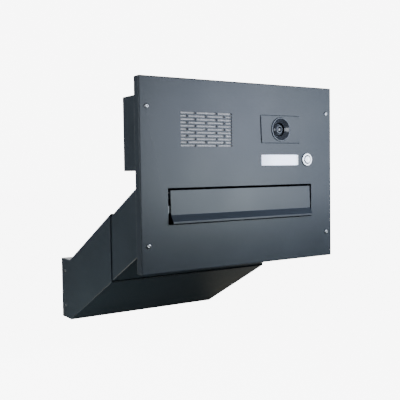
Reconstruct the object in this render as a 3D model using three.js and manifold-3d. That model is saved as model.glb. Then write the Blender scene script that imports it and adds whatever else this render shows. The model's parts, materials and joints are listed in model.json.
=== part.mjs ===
// A through-wall mailbox with a door station in its front plate. Letters go in through a flap in
// the plate, slide down a chute that is telescopic to suit the wall, and are taken out at its rear
// door.
//
// Millimetres. +X is right, +Y goes into the wall and +Z is up, as seen from the street. Pieces are
// built in plate coordinates: x = 0 on the plate's centre line, y = 0 on its front face, z = 0 just
// above its lower edge. The finished assembly is moved so that the origin lies on the wall plane, in
// the middle of the wall frame's lower strip.

import * as THREE from 'three';
import { mergeVertices } from 'three/addons/utils/BufferGeometryUtils.js';
import Module from 'manifold-3d';

const wasm = await Module();
wasm.setup();

// ---------------------------------------------------------------- driving dimensions

const GAP = 0.3; // clearance between two pieces that touch
const CHUTE_SHEET = 1.2; // sheet of the box, the chutes and the hinge leaves
const BRACKET_SHEET = 1.2;
const ROUND_SEGMENTS = 24; // of a round piece that shows
const SMALL_SEGMENTS = 16; // of fasteners and hidden round pieces

const PLATE = { x: around(0, 414), z: [-2, 319], depth: 18, sheet: 2 };
const ORIGIN_HEIGHT = 24; // of the middle of the wall frame's lower strip

const LETTER_OPENING = { x: around(0, 312), z: [76.5, 137.5] };
const FLAP = {
  width: 303, sheet: 1.5, top: 133.5, crease: 93, creaseProud: 1.5, lipBottom: 82, hemBottom: 79, lipReach: 9,
  hingeY: 5.5, hingeZ: 129.5, rodRadius: 1.5, earDepth: 9.5, earBottom: 119,
};
const GRILLE = {
  x: -78, z: 234.65, width: 103.6, rows: 11, pitch: 5.45, slot: 3, web: 3,
  outerWebs: [-21.4, 21.4], innerWebs: [-37.6, 0, 37.6],
};
const CAMERA = { x: 81.7, z: 238.1, width: 87.4, height: 49.4, proud: 1.5, ballRadius: 13.5, ballY: 14 };
const NAMEPLATE = { x: 81.2, z: 182.4, width: 85.4, height: 19.2, tab: 3.4, proud: 0.5 };
const BUTTON = { x: 145.5, z: 183, collarRadius: 12.5, capRadius: 7.8, travel: 1.5 };
const PANEL_SCREW = { x: 193.5, z: [44.5, 270], headRadius: 4, shankRadius: 1.9 };
const WALL_HOLE = { x: 194.5, z: [100, 214], radius: 3.25 };

const INTERCOM_BOX = { x: around(0, 353.6), z: [165.9, 296], rear: 119.7 };
const FLANGE = { y: [14.4, 15.6], halfWidth: 187, reach: 10.5 }; // of the box and the inner chute

const SLOPE = Math.tan(THREE.MathUtils.degToRad(27.5)); // fall of the chute over its length
const INNER_CHUTE = { x: around(0, 351), rear: 228, mouthTop: 163.9, top: 168.15, bottom: 46.35 };
const OUTER_CHUTE = { x: around(0, 356), front: 178.9, top: 87.7, height: 128.5, bend: 387.7, rear: 424.2 };
const REAR_TOP = OUTER_CHUTE.top - (OUTER_CHUTE.bend - OUTER_CHUTE.front) * SLOPE;
const REAR = { z: [REAR_TOP - OUTER_CHUTE.height, REAR_TOP] };

const REAR_FRAME = { front: 393, lipY: 415.8, lip: 14 };
const RIVET = { y: 411.5, inset: [25.6, 28.1], headRadius: 3.4, shankRadius: 2.1 };
const DOOR = { y: [424.6, 434.5], sheet: 1.5 };
const HINGE = { x: 181.3, y: 424.4, knuckleRadius: 3, pinRadius: 1.5, leaf: 20, knuckles: 5, inset: 5 };
const LOCK = { x: -146, barrelRadius: 9.5, plugRadius: 6, barrelEnd: 415.6, camReach: 27 };
const CLAMP = { x: 110, y: 200, screwRadius: 2.5, nutHeight: 5 };

// ---------------------------------------------------------------- finishes

const finish = (color, roughness, metalness = 0) => ({ color, roughness, metalness });
const POWDER_COAT = finish(0x3c434a, 0.5, 0.2);
const STAINLESS = finish(0xc4c7c9, 0.3, 1);
const ZINC = finish(0x9aa0a3, 0.5, 0.9);
const BLACK_PLASTIC = finish(0x1b1d1f, 0.6);
const GLOSS_BLACK = finish(0x101214, 0.12);
const LENS_GLASS = finish(0x20242c, 0.03);
const OPAL_ACRYLIC = finish(0xf2f5f8, 0.2);
const CARD = finish(0xfbfbf8, 0.8);
const RUBBER = finish(0x18191a, 0.85);
const CIRCUIT_BOARD = finish(0x1f5a3c, 0.5);
const TERMINAL_GREY = finish(0x8e9499, 0.5);
const PAPER_CONE = finish(0x2a2a2c, 0.9);

// ---------------------------------------------------------------- spans and outlines

// A span is [low, high].
function around(centre, size) {
  return [centre - size / 2, centre + size / 2];
}

const grow = ([low, high], by) => [low - by, high + by];

const rectangle = ([left, right], [low, high]) => [[left, low], [right, low], [right, high], [left, high]];

function circle(u, v, radius, segments = SMALL_SEGMENTS) {
  return Array.from({ length: segments }, (_, i) => {
    const angle = (i / segments) * 2 * Math.PI;
    return [u + radius * Math.cos(angle), v + radius * Math.sin(angle)];
  });
}

// The closed outline of a sheet whose one face follows a line, with mitred bends. The sheet's
// thickness lies to the left of the line's direction.
function foldedSheet(line, thickness) {
  const points = line.map(([u, v]) => new THREE.Vector2(u, v));
  const leftOf = (a, b) => b.clone().sub(a).normalize().rotateAround(new THREE.Vector2(), Math.PI / 2);
  const back = points.map((point, i) => {
    const before = leftOf(points[Math.max(i - 1, 0)], points[Math.max(i, 1)]);
    const after = leftOf(points[Math.min(i, points.length - 2)], points[Math.min(i + 1, points.length - 1)]);
    return point.clone().addScaledVector(before.clone().add(after), thickness / (1 + before.dot(after)));
  });
  return [...points, ...back.reverse()].map((point) => point.toArray());
}

// ---------------------------------------------------------------- solids

// A closed geometry as a solid that can be joined and cut.
function solidOf(geometry) {
  const bare = new THREE.BufferGeometry();
  bare.setAttribute('position', geometry.getAttribute('position'));
  bare.setIndex(geometry.index);
  const merged = mergeVertices(bare, 1e-3);
  const corners = merged.index.array;
  const triangles = [];
  for (let i = 0; i < corners.length; i += 3) {
    const [a, b, c] = corners.slice(i, i + 3);
    if (a !== b && b !== c && c !== a) triangles.push(a, b, c);
  }
  return new wasm.Manifold(new wasm.Mesh({
    numProp: 3,
    vertProperties: merged.getAttribute('position').array,
    triVerts: new Uint32Array(triangles),
  }));
}

function block([x0, x1], [y0, y1], [z0, z1]) {
  const geometry = new THREE.BoxGeometry(x1 - x0, y1 - y0, z1 - z0);
  return solidOf(geometry.translate((x0 + x1) / 2, (y0 + y1) / 2, (z0 + z1) / 2));
}

// An outline of (u, v) points run along the third axis of a basis, from 0 to a depth.
function extruded(outline, depth, u, v, along) {
  const shape = new THREE.Shape(outline.map((point) => new THREE.Vector2(...point)));
  const geometry = new THREE.ExtrudeGeometry(shape, { depth, bevelEnabled: false });
  return geometry.applyMatrix4(new THREE.Matrix4().makeBasis(u, v, along));
}

const X = new THREE.Vector3(1, 0, 0);
const Y = new THREE.Vector3(0, 1, 0);
const Z = new THREE.Vector3(0, 0, 1);

// An outline of (y, z) points run from x0 to x1, with holes right through it.
function runAlongX(outline, [x0, x1], holes = []) {
  const whole = solidOf(extruded(outline, x1 - x0, Y, Z, X).translate(x0, 0, 0));
  return cut(whole, ...holes.map((hole) => runAlongX(hole, grow([x0, x1], 1))));
}

// An outline of (x, z) points run from y0 to y1, with holes right through it.
function runAlongY(outline, [y0, y1], holes = []) {
  const whole = solidOf(extruded(outline, y1 - y0, X, Z, Y.clone().negate()).translate(0, y1, 0));
  return cut(whole, ...holes.map((hole) => runAlongY(hole, grow([y0, y1], 1))));
}

// An outline of (x, y) points run from z0 to z1.
function runAlongZ(outline, [z0, z1]) {
  return solidOf(extruded(outline, z1 - z0, X, Y, Z).translate(0, 0, z0));
}

function lathed(profile, segments) {
  return new THREE.LatheGeometry(profile.map(([r, h]) => new THREE.Vector2(r, h)), segments);
}

// A profile of (radius, y) points turned about a line along Y. The profile runs from low to high y
// on its outside.
function turned(profile, x, z, segments = ROUND_SEGMENTS) {
  return solidOf(lathed(profile, segments).translate(x, 0, z));
}

// The same about a line along X: the profile is (radius, x).
function turnedAboutX(profile, y, z, segments = SMALL_SEGMENTS) {
  return solidOf(lathed(profile, segments).rotateZ(-Math.PI / 2).translate(0, y, z));
}

const discProfile = (radius, [low, high]) => [[0, low], [radius, low], [radius, high], [0, high]];

const rodAlongX = (radius, span, y, z) => turnedAboutX(discProfile(radius, span), y, z);

const rodAlongY = (radius, span, x, z, segments = SMALL_SEGMENTS) =>
  turned(discProfile(radius, span), x, z, segments);

const tubeAlongY = (outer, inner, [low, high], x, z, segments = SMALL_SEGMENTS) =>
  turned([[inner, low], [outer, low], [outer, high], [inner, high], [inner, low]], x, z, segments);

const joined = (first, ...others) => others.reduce((whole, other) => whole.add(other), first);

const cut = (whole, ...tools) => tools.reduce((left, tool) => left.subtract(tool), whole);

function geometryOf(solid) {
  const { vertProperties, triVerts } = solid.getMesh();
  const geometry = new THREE.BufferGeometry();
  geometry.setAttribute('position', new THREE.BufferAttribute(vertProperties, 3));
  geometry.setIndex(new THREE.BufferAttribute(triVerts, 1));
  return geometry;
}

function piece(name, solid, material) {
  const mesh = new THREE.Mesh(geometryOf(solid), new THREE.MeshStandardMaterial(material));
  mesh.name = name;
  return mesh;
}

const SIDES = [['left', -1], ['right', 1]];
const LEVELS = [['lower', 0], ['upper', 1]];

// One piece for each corner, from a function of the side's sign and the level's number.
function atCorners(name, make, material) {
  return LEVELS.flatMap(([level, row]) =>
    SIDES.map(([side, sign]) => piece(`${name}_${level}_${side}`, make(sign, row), material)));
}

const atSides = (name, make, material) =>
  SIDES.map(([side, sign]) => piece(`${name}_${side}`, make(sign), material));

// A span on the right side, mirrored for the left one.
const mirrored = ([low, high], sign) => (sign > 0 ? [low, high] : [-high, -low]);

// ---------------------------------------------------------------- front plate

// The sound slots, in rows whose webs are staggered like bricks.
function grilleSlots() {
  return Array.from({ length: GRILLE.rows }, (_, row) => {
    const webs = row % 2 === 0 ? GRILLE.outerWebs : GRILLE.innerWebs;
    const starts = [-GRILLE.width / 2, ...webs.map((web) => web + GRILLE.web / 2)];
    const ends = [...webs.map((web) => web - GRILLE.web / 2), GRILLE.width / 2];
    const height = around(GRILLE.z + ((GRILLE.rows - 1) / 2 - row) * GRILLE.pitch, GRILLE.slot);
    return starts.map((start, i) => rectangle([GRILLE.x + start, GRILLE.x + ends[i]], height));
  }).flat();
}

const cameraX = around(CAMERA.x, CAMERA.width);
const cameraZ = around(CAMERA.z, CAMERA.height);
const nameplateX = around(NAMEPLATE.x, NAMEPLATE.width);
const nameplateZ = around(NAMEPLATE.z, NAMEPLATE.height);
const behindPlate = PLATE.sheet + GAP;
const BUTTON_BARREL = 9.4;
const NAMEPLATE_GAP = 0.5; // round the name plate and the camera plate

function frontPanel() {
  const openings = [
    rectangle(LETTER_OPENING.x, LETTER_OPENING.z),
    rectangle(grow(cameraX, NAMEPLATE_GAP), grow(cameraZ, NAMEPLATE_GAP)),
    rectangle(grow(nameplateX, NAMEPLATE_GAP), grow(nameplateZ, NAMEPLATE_GAP)),
    circle(BUTTON.x, BUTTON.z, BUTTON_BARREL + GAP, ROUND_SEGMENTS),
    ...grilleSlots(),
    ...SIDES.flatMap(([, sign]) =>
      PANEL_SCREW.z.map((z) => circle(sign * PANEL_SCREW.x, z, PANEL_SCREW.shankRadius + GAP))),
  ];
  const face = runAlongY(rectangle(PLATE.x, PLATE.z), [0, PLATE.sheet], openings);
  const inside = rectangle(grow(PLATE.x, -PLATE.sheet), grow(PLATE.z, -PLATE.sheet));
  const returns = runAlongY(rectangle(PLATE.x, PLATE.z), [PLATE.sheet, PLATE.depth], [inside]);
  return piece('front_panel', joined(face, returns), POWDER_COAT);
}

const WALL_SHEET = 2.5; // the least thickness of wall that the falling chute clears

// A flat ring on the wall, round the hole that the box and the chute go through.
function wallFrame() {
  const outside = PLATE.sheet + 0.6;
  const low = innerBottom(PLATE.depth + WALL_SHEET) - 0.5;
  const opening = rectangle(grow(INTERCOM_BOX.x, 0.5), [low, INTERCOM_BOX.z[1] + 0.5]);
  const wallHoles = SIDES.flatMap(([, sign]) =>
    WALL_HOLE.z.map((z) => circle(sign * WALL_HOLE.x, z, WALL_HOLE.radius)));
  const ring = runAlongY(
    rectangle(grow(PLATE.x, -outside), grow(PLATE.z, -outside)),
    [PLATE.depth - PLATE.sheet, PLATE.depth],
    [opening, ...wallHoles],
  );
  return piece('wall_frame', ring, ZINC);
}

const STANDOFF_RADIUS = 4.5;

function standoff(sign, row) {
  const span = [behindPlate, PLATE.depth - PLATE.sheet - GAP];
  const bore = PANEL_SCREW.shankRadius + GAP;
  return tubeAlongY(STANDOFF_RADIUS, bore, span, sign * PANEL_SCREW.x, PANEL_SCREW.z[row]);
}

// A lens-head screw with a hexagon socket.
function panelScrew(sign, row) {
  const { headRadius, shankRadius } = PANEL_SCREW;
  const x = sign * PANEL_SCREW.x;
  const z = PANEL_SCREW.z[row];
  const crown = -2.3;
  const body = turned([
    [0, crown], [headRadius * 0.5, crown + 0.25], [headRadius * 0.85, crown + 0.9],
    [headRadius, crown + 1.6], [headRadius, -GAP], [shankRadius, -GAP], [shankRadius, 12], [0, 12],
  ], x, z, SMALL_SEGMENTS);
  const socket = rodAlongY(1.5, [crown - 1, crown + 1.4], x, z, 6);
  return cut(body, socket);
}

const frontPlate = () => [
  frontPanel(),
  wallFrame(),
  ...atCorners('panel_standoff', standoff, ZINC),
  ...atCorners('panel_screw', panelScrew, STAINLESS),
];

// ---------------------------------------------------------------- letter flap

const TAB_Z = [96, 108];
const TAB_SHARE = (FLAP.top - (TAB_Z[0] + TAB_Z[1]) / 2) / (FLAP.top - FLAP.crease); // of the way to the crease
const BUFFER_FACE = FLAP.sheet - TAB_SHARE * FLAP.creaseProud + GAP; // the flap's back rests here when it is shut
const TAB_FACE = BUFFER_FACE + 2.1;
const BRACKET_X = LETTER_OPENING.x[1] + 1.8;

// The flap's face with its drip lip and hem, and an ear at each end for the hinge rod.
function letterFlap() {
  const face = foldedSheet([
    [0, FLAP.top], [-FLAP.creaseProud, FLAP.crease],
    [-FLAP.lipReach, FLAP.lipBottom], [-FLAP.lipReach, FLAP.hemBottom],
  ], FLAP.sheet);
  const panel = runAlongX(face, around(0, FLAP.width));
  const rodHole = circle(FLAP.hingeY, FLAP.hingeZ, FLAP.rodRadius + GAP);
  const earOutline = rectangle([FLAP.sheet / 2, FLAP.earDepth], [FLAP.earBottom, FLAP.top]);
  const ears = SIDES.map(([, sign]) => {
    const span = [FLAP.width / 2 - FLAP.sheet, FLAP.width / 2];
    return runAlongX(earOutline, mirrored(span, sign), [rodHole]);
  });
  return piece('letter_flap', joined(panel, ...ears), POWDER_COAT);
}

// An angle on the plate's back, with the rod's hole at its top and a stop tab at its foot.
function flapBracket(sign) {
  const depth = 13;
  const flange = 12.2;
  const height = [84, 141];
  const span = (low, high) => mirrored([low, high], sign);
  const rodHole = circle(FLAP.hingeY, FLAP.hingeZ, FLAP.rodRadius + GAP);
  const foot = block(
    span(BRACKET_X, BRACKET_X + flange), [behindPlate, behindPlate + BRACKET_SHEET], height,
  );
  const web = runAlongX(
    rectangle([behindPlate, depth], height), span(BRACKET_X, BRACKET_X + BRACKET_SHEET), [rodHole],
  );
  const tab = block(span(FLAP.width / 2 - 6, BRACKET_X + 0.6), [TAB_FACE, TAB_FACE + BRACKET_SHEET], TAB_Z);
  return joined(foot, web, tab);
}

function flapBuffer(sign) {
  const radius = 2.5;
  const x = sign * (FLAP.width / 2 - radius - 0.5);
  return rodAlongY(radius, [BUFFER_FACE, TAB_FACE - GAP], x, (TAB_Z[0] + TAB_Z[1]) / 2);
}

const flapRod = () => rodAlongX(FLAP.rodRadius, around(0, 2 * BRACKET_X + 10), FLAP.hingeY, FLAP.hingeZ);

const letterFlapGroup = () => [
  letterFlap(),
  piece('flap_hinge_rod', flapRod(), STAINLESS),
  ...atSides('flap_bracket', flapBracket, ZINC),
  ...atSides('flap_buffer', flapBuffer, RUBBER),
];

// ---------------------------------------------------------------- speech unit

const MESH_THICKNESS = 0.8;
const speechX = around(GRILLE.x, GRILLE.width + 6.4);
const speechZ = around(GRILLE.z, GRILLE.rows * GRILLE.pitch + 3.5);
const SPEAKER_Z = 237;

function speechHousing() {
  const wall = 1.8;
  const front = behindPlate + MESH_THICKNESS + GAP;
  const rear = 32;
  const outside = block(grow(speechX, wall + 1), [front, rear], grow(speechZ, wall + 1));
  const inside = block(grow(speechX, 1), [front - 1, rear - wall], grow(speechZ, 1));
  const wireHole = rodAlongY(4, [rear - 2 * wall, rear + 1], GRILLE.x - 35, SPEAKER_Z);
  return cut(outside, inside, wireHole);
}

// The loudspeaker's bowl and magnet, open at the front.
const speakerBasket = () => turned([
  [0, 12.5], [12.5, 12.5], [23, 4.6], [25, 4.6], [25, 6.2], [14, 14], [14, 24], [0, 24],
], GRILLE.x, SPEAKER_Z);

const speakerCone = () => turned([
  [0, 8.8], [4, 9.2], [7, 10.4], [20.6, 4.9], [21.6, 4.9], [12, 11.9], [0, 11.9],
], GRILLE.x, SPEAKER_Z);

const microphone = () => rodAlongY(4.8, [4.6, 10], GRILLE.x - 40, GRILLE.z - 22);

const speechUnit = () => [
  piece('speaker_mesh', block(speechX, [behindPlate, behindPlate + MESH_THICKNESS], speechZ), STAINLESS),
  piece('speech_housing', speechHousing(), BLACK_PLASTIC),
  piece('speaker_basket', speakerBasket(), ZINC),
  piece('speaker_cone', speakerCone(), PAPER_CONE),
  piece('microphone', microphone(), BLACK_PLASTIC),
];

// ---------------------------------------------------------------- camera

const BEZEL_BARREL = { outer: 19.9, inner: 18.3, end: 24 };
const CARRIER = { outer: 17.9, halfDepth: 4.5 };
const LENS_RADIUS = 4.9;
const FLAT = 12; // from the ball's centre to the flat round its lens

// Points of a circle's arc about the ball's centre, as (radius, y), from one y offset to another.
function ballArc(radius, fromY, toY, steps) {
  return Array.from({ length: steps + 1 }, (_, i) => {
    const from = Math.asin(fromY / radius);
    const angle = from + (Math.asin(toY / radius) - from) * (i / steps);
    return [radius * Math.cos(angle), CAMERA.ballY + radius * Math.sin(angle)];
  });
}

// A plate that stands proud of the panel, with a wider flange behind it.
function cameraPlate() {
  const front = runAlongY(rectangle(cameraX, cameraZ), [-CAMERA.proud, behindPlate]);
  const flange = runAlongY(
    rectangle(grow(cameraX, 5), grow(cameraZ, 5)), [behindPlate, behindPlate + PLATE.sheet],
  );
  const hole = rodAlongY(BEZEL_BARREL.outer + GAP, [-5, 10], CAMERA.x, CAMERA.z, ROUND_SEGMENTS);
  return cut(joined(front, flange), hole);
}

// The ring round the camera: a rounded rim, a funnel down to the throat, and a barrel behind it.
const cameraBezel = () => turned([
  [12.6, 3.6], [19, -2.6], [20.2, -3.3], [21.4, -3], [22, -2.2], [22, -CAMERA.proud - GAP],
  [BEZEL_BARREL.outer, -CAMERA.proud - GAP], [BEZEL_BARREL.outer, BEZEL_BARREL.end],
  [BEZEL_BARREL.inner, BEZEL_BARREL.end], [BEZEL_BARREL.inner, 5.6], [13.4, 4.8], [12.6, 3.6],
], CAMERA.x, CAMERA.z);

function cameraCarrier() {
  const outer = ballArc(CARRIER.outer, -CARRIER.halfDepth, CARRIER.halfDepth, 4);
  const inner = ballArc(CAMERA.ballRadius + GAP, CARRIER.halfDepth, -CARRIER.halfDepth, 4);
  return turned([...outer, ...inner, outer[0]], CAMERA.x, CAMERA.z);
}

function cameraBall() {
  const y = (offset) => CAMERA.ballY + offset;
  const seat = LENS_RADIUS + GAP;
  const surface = ballArc(CAMERA.ballRadius, -FLAT, FLAT, 8);
  return turned([[0, y(-8)], [seat, y(-8)], [seat, y(-FLAT)], ...surface, [0, y(FLAT)]], CAMERA.x, CAMERA.z);
}

function cameraLens() {
  const y = (offset) => CAMERA.ballY + offset;
  return turned([
    [0, y(-12.4)], [2.6, y(-12.1)], [LENS_RADIUS, y(-11)], [LENS_RADIUS, y(-8.3)], [0, y(-8.3)],
  ], CAMERA.x, CAMERA.z, SMALL_SEGMENTS);
}

function cameraHousing() {
  const front = behindPlate + PLATE.sheet + GAP;
  const rear = 40;
  const wall = 1.8;
  const x = around(CAMERA.x, 56);
  const z = around(CAMERA.z, 50);
  const outside = block(x, [front, rear], z);
  const inside = block(grow(x, -wall), [front - 1, rear - wall], grow(z, -wall));
  const wireHole = rodAlongY(4, [rear - 2 * wall, rear + 1], CAMERA.x, CAMERA.z - 14);
  return cut(outside, inside, wireHole);
}

const camera = () => [
  piece('camera_plate', cameraPlate(), POWDER_COAT),
  piece('camera_bezel', cameraBezel(), GLOSS_BLACK),
  piece('camera_carrier', cameraCarrier(), BLACK_PLASTIC),
  piece('camera_ball', cameraBall(), GLOSS_BLACK),
  piece('camera_lens', cameraLens(), LENS_GLASS),
  piece('camera_housing', cameraHousing(), BLACK_PLASTIC),
];

// ---------------------------------------------------------------- name plate

const tabLeft = nameplateX[1] - NAMEPLATE.tab;
const windowY = [-NAMEPLATE.proud, PLATE.sheet];
const cardY = [PLATE.sheet + GAP, PLATE.sheet + 2 * GAP + 0.3];
const HOLDER = { y: [behindPlate, 12], margin: 3.6, wall: 1.6 };

function nameplateHolder() {
  const pocket = [grow(nameplateX, 0.6), grow(nameplateZ, 0.6)];
  const outside = block(grow(nameplateX, HOLDER.margin), HOLDER.y, grow(nameplateZ, HOLDER.margin));
  const inside = block(pocket[0], [HOLDER.y[0] - 1, HOLDER.y[1] - HOLDER.wall], pocket[1]);
  const wireHole = rodAlongY(2.5, [HOLDER.y[1] - 2 * HOLDER.wall, HOLDER.y[1] + 1], NAMEPLATE.x, NAMEPLATE.z);
  return cut(outside, inside, wireHole);
}

// A strip of light-emitting diodes behind the card.
function backlightBoard() {
  const strip = block(nameplateX, [7.4, 9], grow(nameplateZ, -2));
  const diodes = [-30, -10, 10, 30].map((x) =>
    block(around(NAMEPLATE.x + x, 5), [6, 7.5], around(NAMEPLATE.z, 3)));
  return joined(strip, ...diodes);
}

const nameplate = () => [
  piece('nameplate_window', block([nameplateX[0], tabLeft - GAP], windowY, nameplateZ), OPAL_ACRYLIC),
  piece('nameplate_tab', block([tabLeft, nameplateX[1]], windowY, nameplateZ), STAINLESS),
  piece('name_card', block(nameplateX, cardY, nameplateZ), CARD),
  piece('nameplate_holder', nameplateHolder(), BLACK_PLASTIC),
  piece('backlight_board', backlightBoard(), CIRCUIT_BOARD),
];

// ---------------------------------------------------------------- bell button

const FLOOR = [7, 9]; // the wall across the collar that the stem passes through
const STEM_RADIUS = 2.5;

function buttonCollar() {
  const { collarRadius, capRadius } = BUTTON;
  const bore = capRadius + GAP;
  const stemHole = STEM_RADIUS + GAP;
  return turned([
    [bore, -1.6], [bore + 0.6, -2.2], [collarRadius - 1.6, -2.2], [collarRadius - 0.4, -1.6],
    [collarRadius, -GAP], [BUTTON_BARREL, -GAP], [BUTTON_BARREL, 20], [7, 20], [7, FLOOR[1]],
    [stemHole, FLOOR[1]], [stemHole, FLOOR[0]], [bore, FLOOR[0]], [bore, -1.6],
  ], BUTTON.x, BUTTON.z);
}

const buttonCap = () => turned([
  [0, -3.4], [4, -3.2], [BUTTON.capRadius - 1, -2.7], [BUTTON.capRadius, -1.9], [BUTTON.capRadius, 1.2],
  [STEM_RADIUS, 1.2], [STEM_RADIUS, 12], [0, 12],
], BUTTON.x, BUTTON.z);

// A round wire on a helix, between the cap and the collar's floor.
function buttonSpring() {
  const coilRadius = 4.6;
  const wireRadius = 0.4;
  const turns = 3.5;
  const ends = [1.2 + GAP + wireRadius, FLOOR[0] - GAP - wireRadius];
  class Helix extends THREE.Curve {
    getPoint(t, target = new THREE.Vector3()) {
      const angle = 2 * Math.PI * turns * t;
      const y = ends[0] + (ends[1] - ends[0]) * t;
      return target.set(BUTTON.x + coilRadius * Math.cos(angle), y, BUTTON.z + coilRadius * Math.sin(angle));
    }
  }
  const section = new THREE.Shape(circle(0, 0, wireRadius, 6).map(([u, v]) => new THREE.Vector2(u, v)));
  const wire = new THREE.ExtrudeGeometry(section, { steps: 42, extrudePath: new Helix() });
  return solidOf(wire);
}

function buttonNut() {
  const span = [behindPlate, behindPlate + 3.5];
  const hexagon = rodAlongY(13.5, span, BUTTON.x, BUTTON.z, 6);
  const bore = rodAlongY(BUTTON_BARREL + GAP, grow(span, 1), BUTTON.x, BUTTON.z, ROUND_SEGMENTS);
  return cut(hexagon, bore);
}

const buttonSwitch = () => turned([
  [0, 12 + BUTTON.travel + GAP], [2, 12 + BUTTON.travel + GAP], [2, 15], [6.6, 15], [6.6, 27], [0, 27],
], BUTTON.x, BUTTON.z, SMALL_SEGMENTS);

const bellButton = () => [
  piece('button_collar', buttonCollar(), STAINLESS),
  piece('button_cap', buttonCap(), STAINLESS),
  piece('button_spring', buttonSpring(), ZINC),
  piece('button_nut', buttonNut(), ZINC),
  piece('button_switch', buttonSwitch(), BLACK_PLASTIC),
];

// ---------------------------------------------------------------- box behind the plate

const CABLE_HOLE = { x: -120, z: 200, radius: 10.5 };

function intercomBox() {
  const { x, z, rear } = INTERCOM_BOX;
  const outside = block(x, [FLANGE.y[0], rear], z);
  const flange = block(x, FLANGE.y, [z[1] - CHUTE_SHEET, z[1] + FLANGE.reach]);
  const inside = block(
    grow(x, -CHUTE_SHEET), [FLANGE.y[0] - 1, rear - CHUTE_SHEET], grow(z, -CHUTE_SHEET),
  );
  const cableHole = rodAlongY(CABLE_HOLE.radius, grow([rear - CHUTE_SHEET, rear], 1), CABLE_HOLE.x, CABLE_HOLE.z);
  return cut(joined(outside, flange), inside, cableHole);
}

// A grooved ring that grips the edge of the cable hole.
function cableGrommet() {
  const sheet = [INTERCOM_BOX.rear - CHUTE_SHEET, INTERCOM_BOX.rear];
  const [front, rear] = grow(sheet, GAP);
  const bore = 5;
  const lip = 3;
  return turned([
    [bore, front - lip], [CABLE_HOLE.radius + 1.5, front - lip + 1], [CABLE_HOLE.radius + 2, front],
    [CABLE_HOLE.radius - GAP, front], [CABLE_HOLE.radius - GAP, rear], [CABLE_HOLE.radius + 2, rear],
    [CABLE_HOLE.radius + 1.5, rear + lip - 1], [bore, rear + lip], [bore, front - lip],
  ], CABLE_HOLE.x, CABLE_HOLE.z);
}

const BOARD = { x: around(85, 130), z: around(231, 88), y: [104, 105.6] };

// A moulded plate on the box's rear wall, with a peg at each corner of the board.
function boardCarrier() {
  const rear = INTERCOM_BOX.rear - CHUTE_SHEET - GAP;
  const base = block(grow(BOARD.x, 4), [rear - 2.4, rear], grow(BOARD.z, 4));
  const pegs = [1, -1].flatMap((up) => [1, -1].map((right) => {
    const x = (BOARD.x[0] + BOARD.x[1]) / 2 + right * 58;
    const z = (BOARD.z[0] + BOARD.z[1]) / 2 + up * 37;
    return rodAlongY(3.5, [BOARD.y[1] + GAP, rear - 1], x, z);
  }));
  return joined(base, ...pegs);
}

// Screw terminals in a row, with a wire entry below each.
function terminalBlock() {
  const ways = 10;
  const pitch = 8;
  const y = [90, BOARD.y[0] - GAP];
  const middle = 85;
  const body = block(around(middle, ways * pitch + 2), y, around(212, 14));
  const pits = Array.from({ length: ways }, (_, i) =>
    rodAlongY(2.2, [y[0] - 1, y[0] + 5], middle + (i - (ways - 1) / 2) * pitch, 213, 12));
  return cut(body, ...pits);
}

const boxBehindPlate = () => [
  piece('intercom_box', intercomBox(), POWDER_COAT),
  piece('cable_grommet', cableGrommet(), RUBBER),
  piece('board_carrier', boardCarrier(), BLACK_PLASTIC),
  piece('terminal_board', block(BOARD.x, BOARD.y, BOARD.z), CIRCUIT_BOARD),
  piece('terminal_block', terminalBlock(), TERMINAL_GREY),
];

// ---------------------------------------------------------------- chutes

const slopedSheet = CHUTE_SHEET * Math.sqrt(1 + SLOPE * SLOPE); // the sheet's height on the slope
const innerTop = (y) => INNER_CHUTE.top - (y - PLATE.depth) * SLOPE;
const innerBottom = (y) => INNER_CHUTE.bottom - (y - PLATE.depth) * SLOPE;
const outerTop = (y) => OUTER_CHUTE.top - (y - OUTER_CHUTE.front) * SLOPE;

// The fixed chute: a flange on the wall frame and a sloping rectangular tube. Its top is level
// for the first stretch, to pass below the box.
function innerChute() {
  const { x, rear, mouthTop } = INNER_CHUTE;
  const front = FLANGE.y[0];
  const tube = (drop, from, to) => {
    const levelEnd = PLATE.depth + (INNER_CHUTE.top - mouthTop) / SLOPE;
    return [
      [from, innerBottom(from) + drop], [to, innerBottom(to) + drop],
      [to, innerTop(to) - drop], [levelEnd, mouthTop - drop], [from, mouthTop - drop],
    ];
  };
  const outside = runAlongX(tube(0, front, rear), x);
  const inside = runAlongX(tube(slopedSheet, front - 1, rear + 1), grow(x, -CHUTE_SHEET));
  const flange = block(
    around(0, 2 * FLANGE.halfWidth), FLANGE.y, [innerBottom(front) - FLANGE.reach, mouthTop],
  );
  return cut(joined(outside, flange), inside);
}

// The chute that slides over it, sloping and then level at its rear end. Two nuts for the clamp
// screws are welded on its top.
function outerChute() {
  const { x, front, height, bend, rear } = OUTER_CHUTE;
  const tube = (sloped, level, from, to) => [
    [from, outerTop(from) - height + sloped], [bend, REAR.z[0] + level], [to, REAR.z[0] + level],
    [to, REAR.z[1] - level], [bend, REAR.z[1] - level], [from, outerTop(from) - sloped],
  ];
  const outside = runAlongX(tube(0, 0, front, rear), x);
  const inside = runAlongX(tube(slopedSheet, CHUTE_SHEET, front - 1, rear + 1), grow(x, -CHUTE_SHEET));
  const weldNuts = SIDES.map(([, sign]) => clampTurned(discProfile(6.5, [-0.3, CLAMP.nutHeight]), sign));
  const screwHoles = SIDES.map(([, sign]) =>
    clampTurned(discProfile(CLAMP.screwRadius + GAP, [-6, CLAMP.nutHeight + 1]), sign));
  return cut(joined(outside, ...weldNuts), inside, ...rivetHoles(x), ...screwHoles);
}

const rivetHeight = (row) => (row === 0 ? REAR.z[0] + RIVET.inset[1] : REAR.z[1] - RIVET.inset[0]);

// What is cut out of the sheets that span x, for the rivets.
const rivetHoles = (x) => LEVELS.map(([, row]) =>
  rodAlongX(RIVET.shankRadius + GAP, grow(x, 1), RIVET.y, rivetHeight(row)));

const leafX = [OUTER_CHUTE.x[1] + GAP, OUTER_CHUTE.x[1] + GAP + CHUTE_SHEET]; // the chute's hinge leaf

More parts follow.
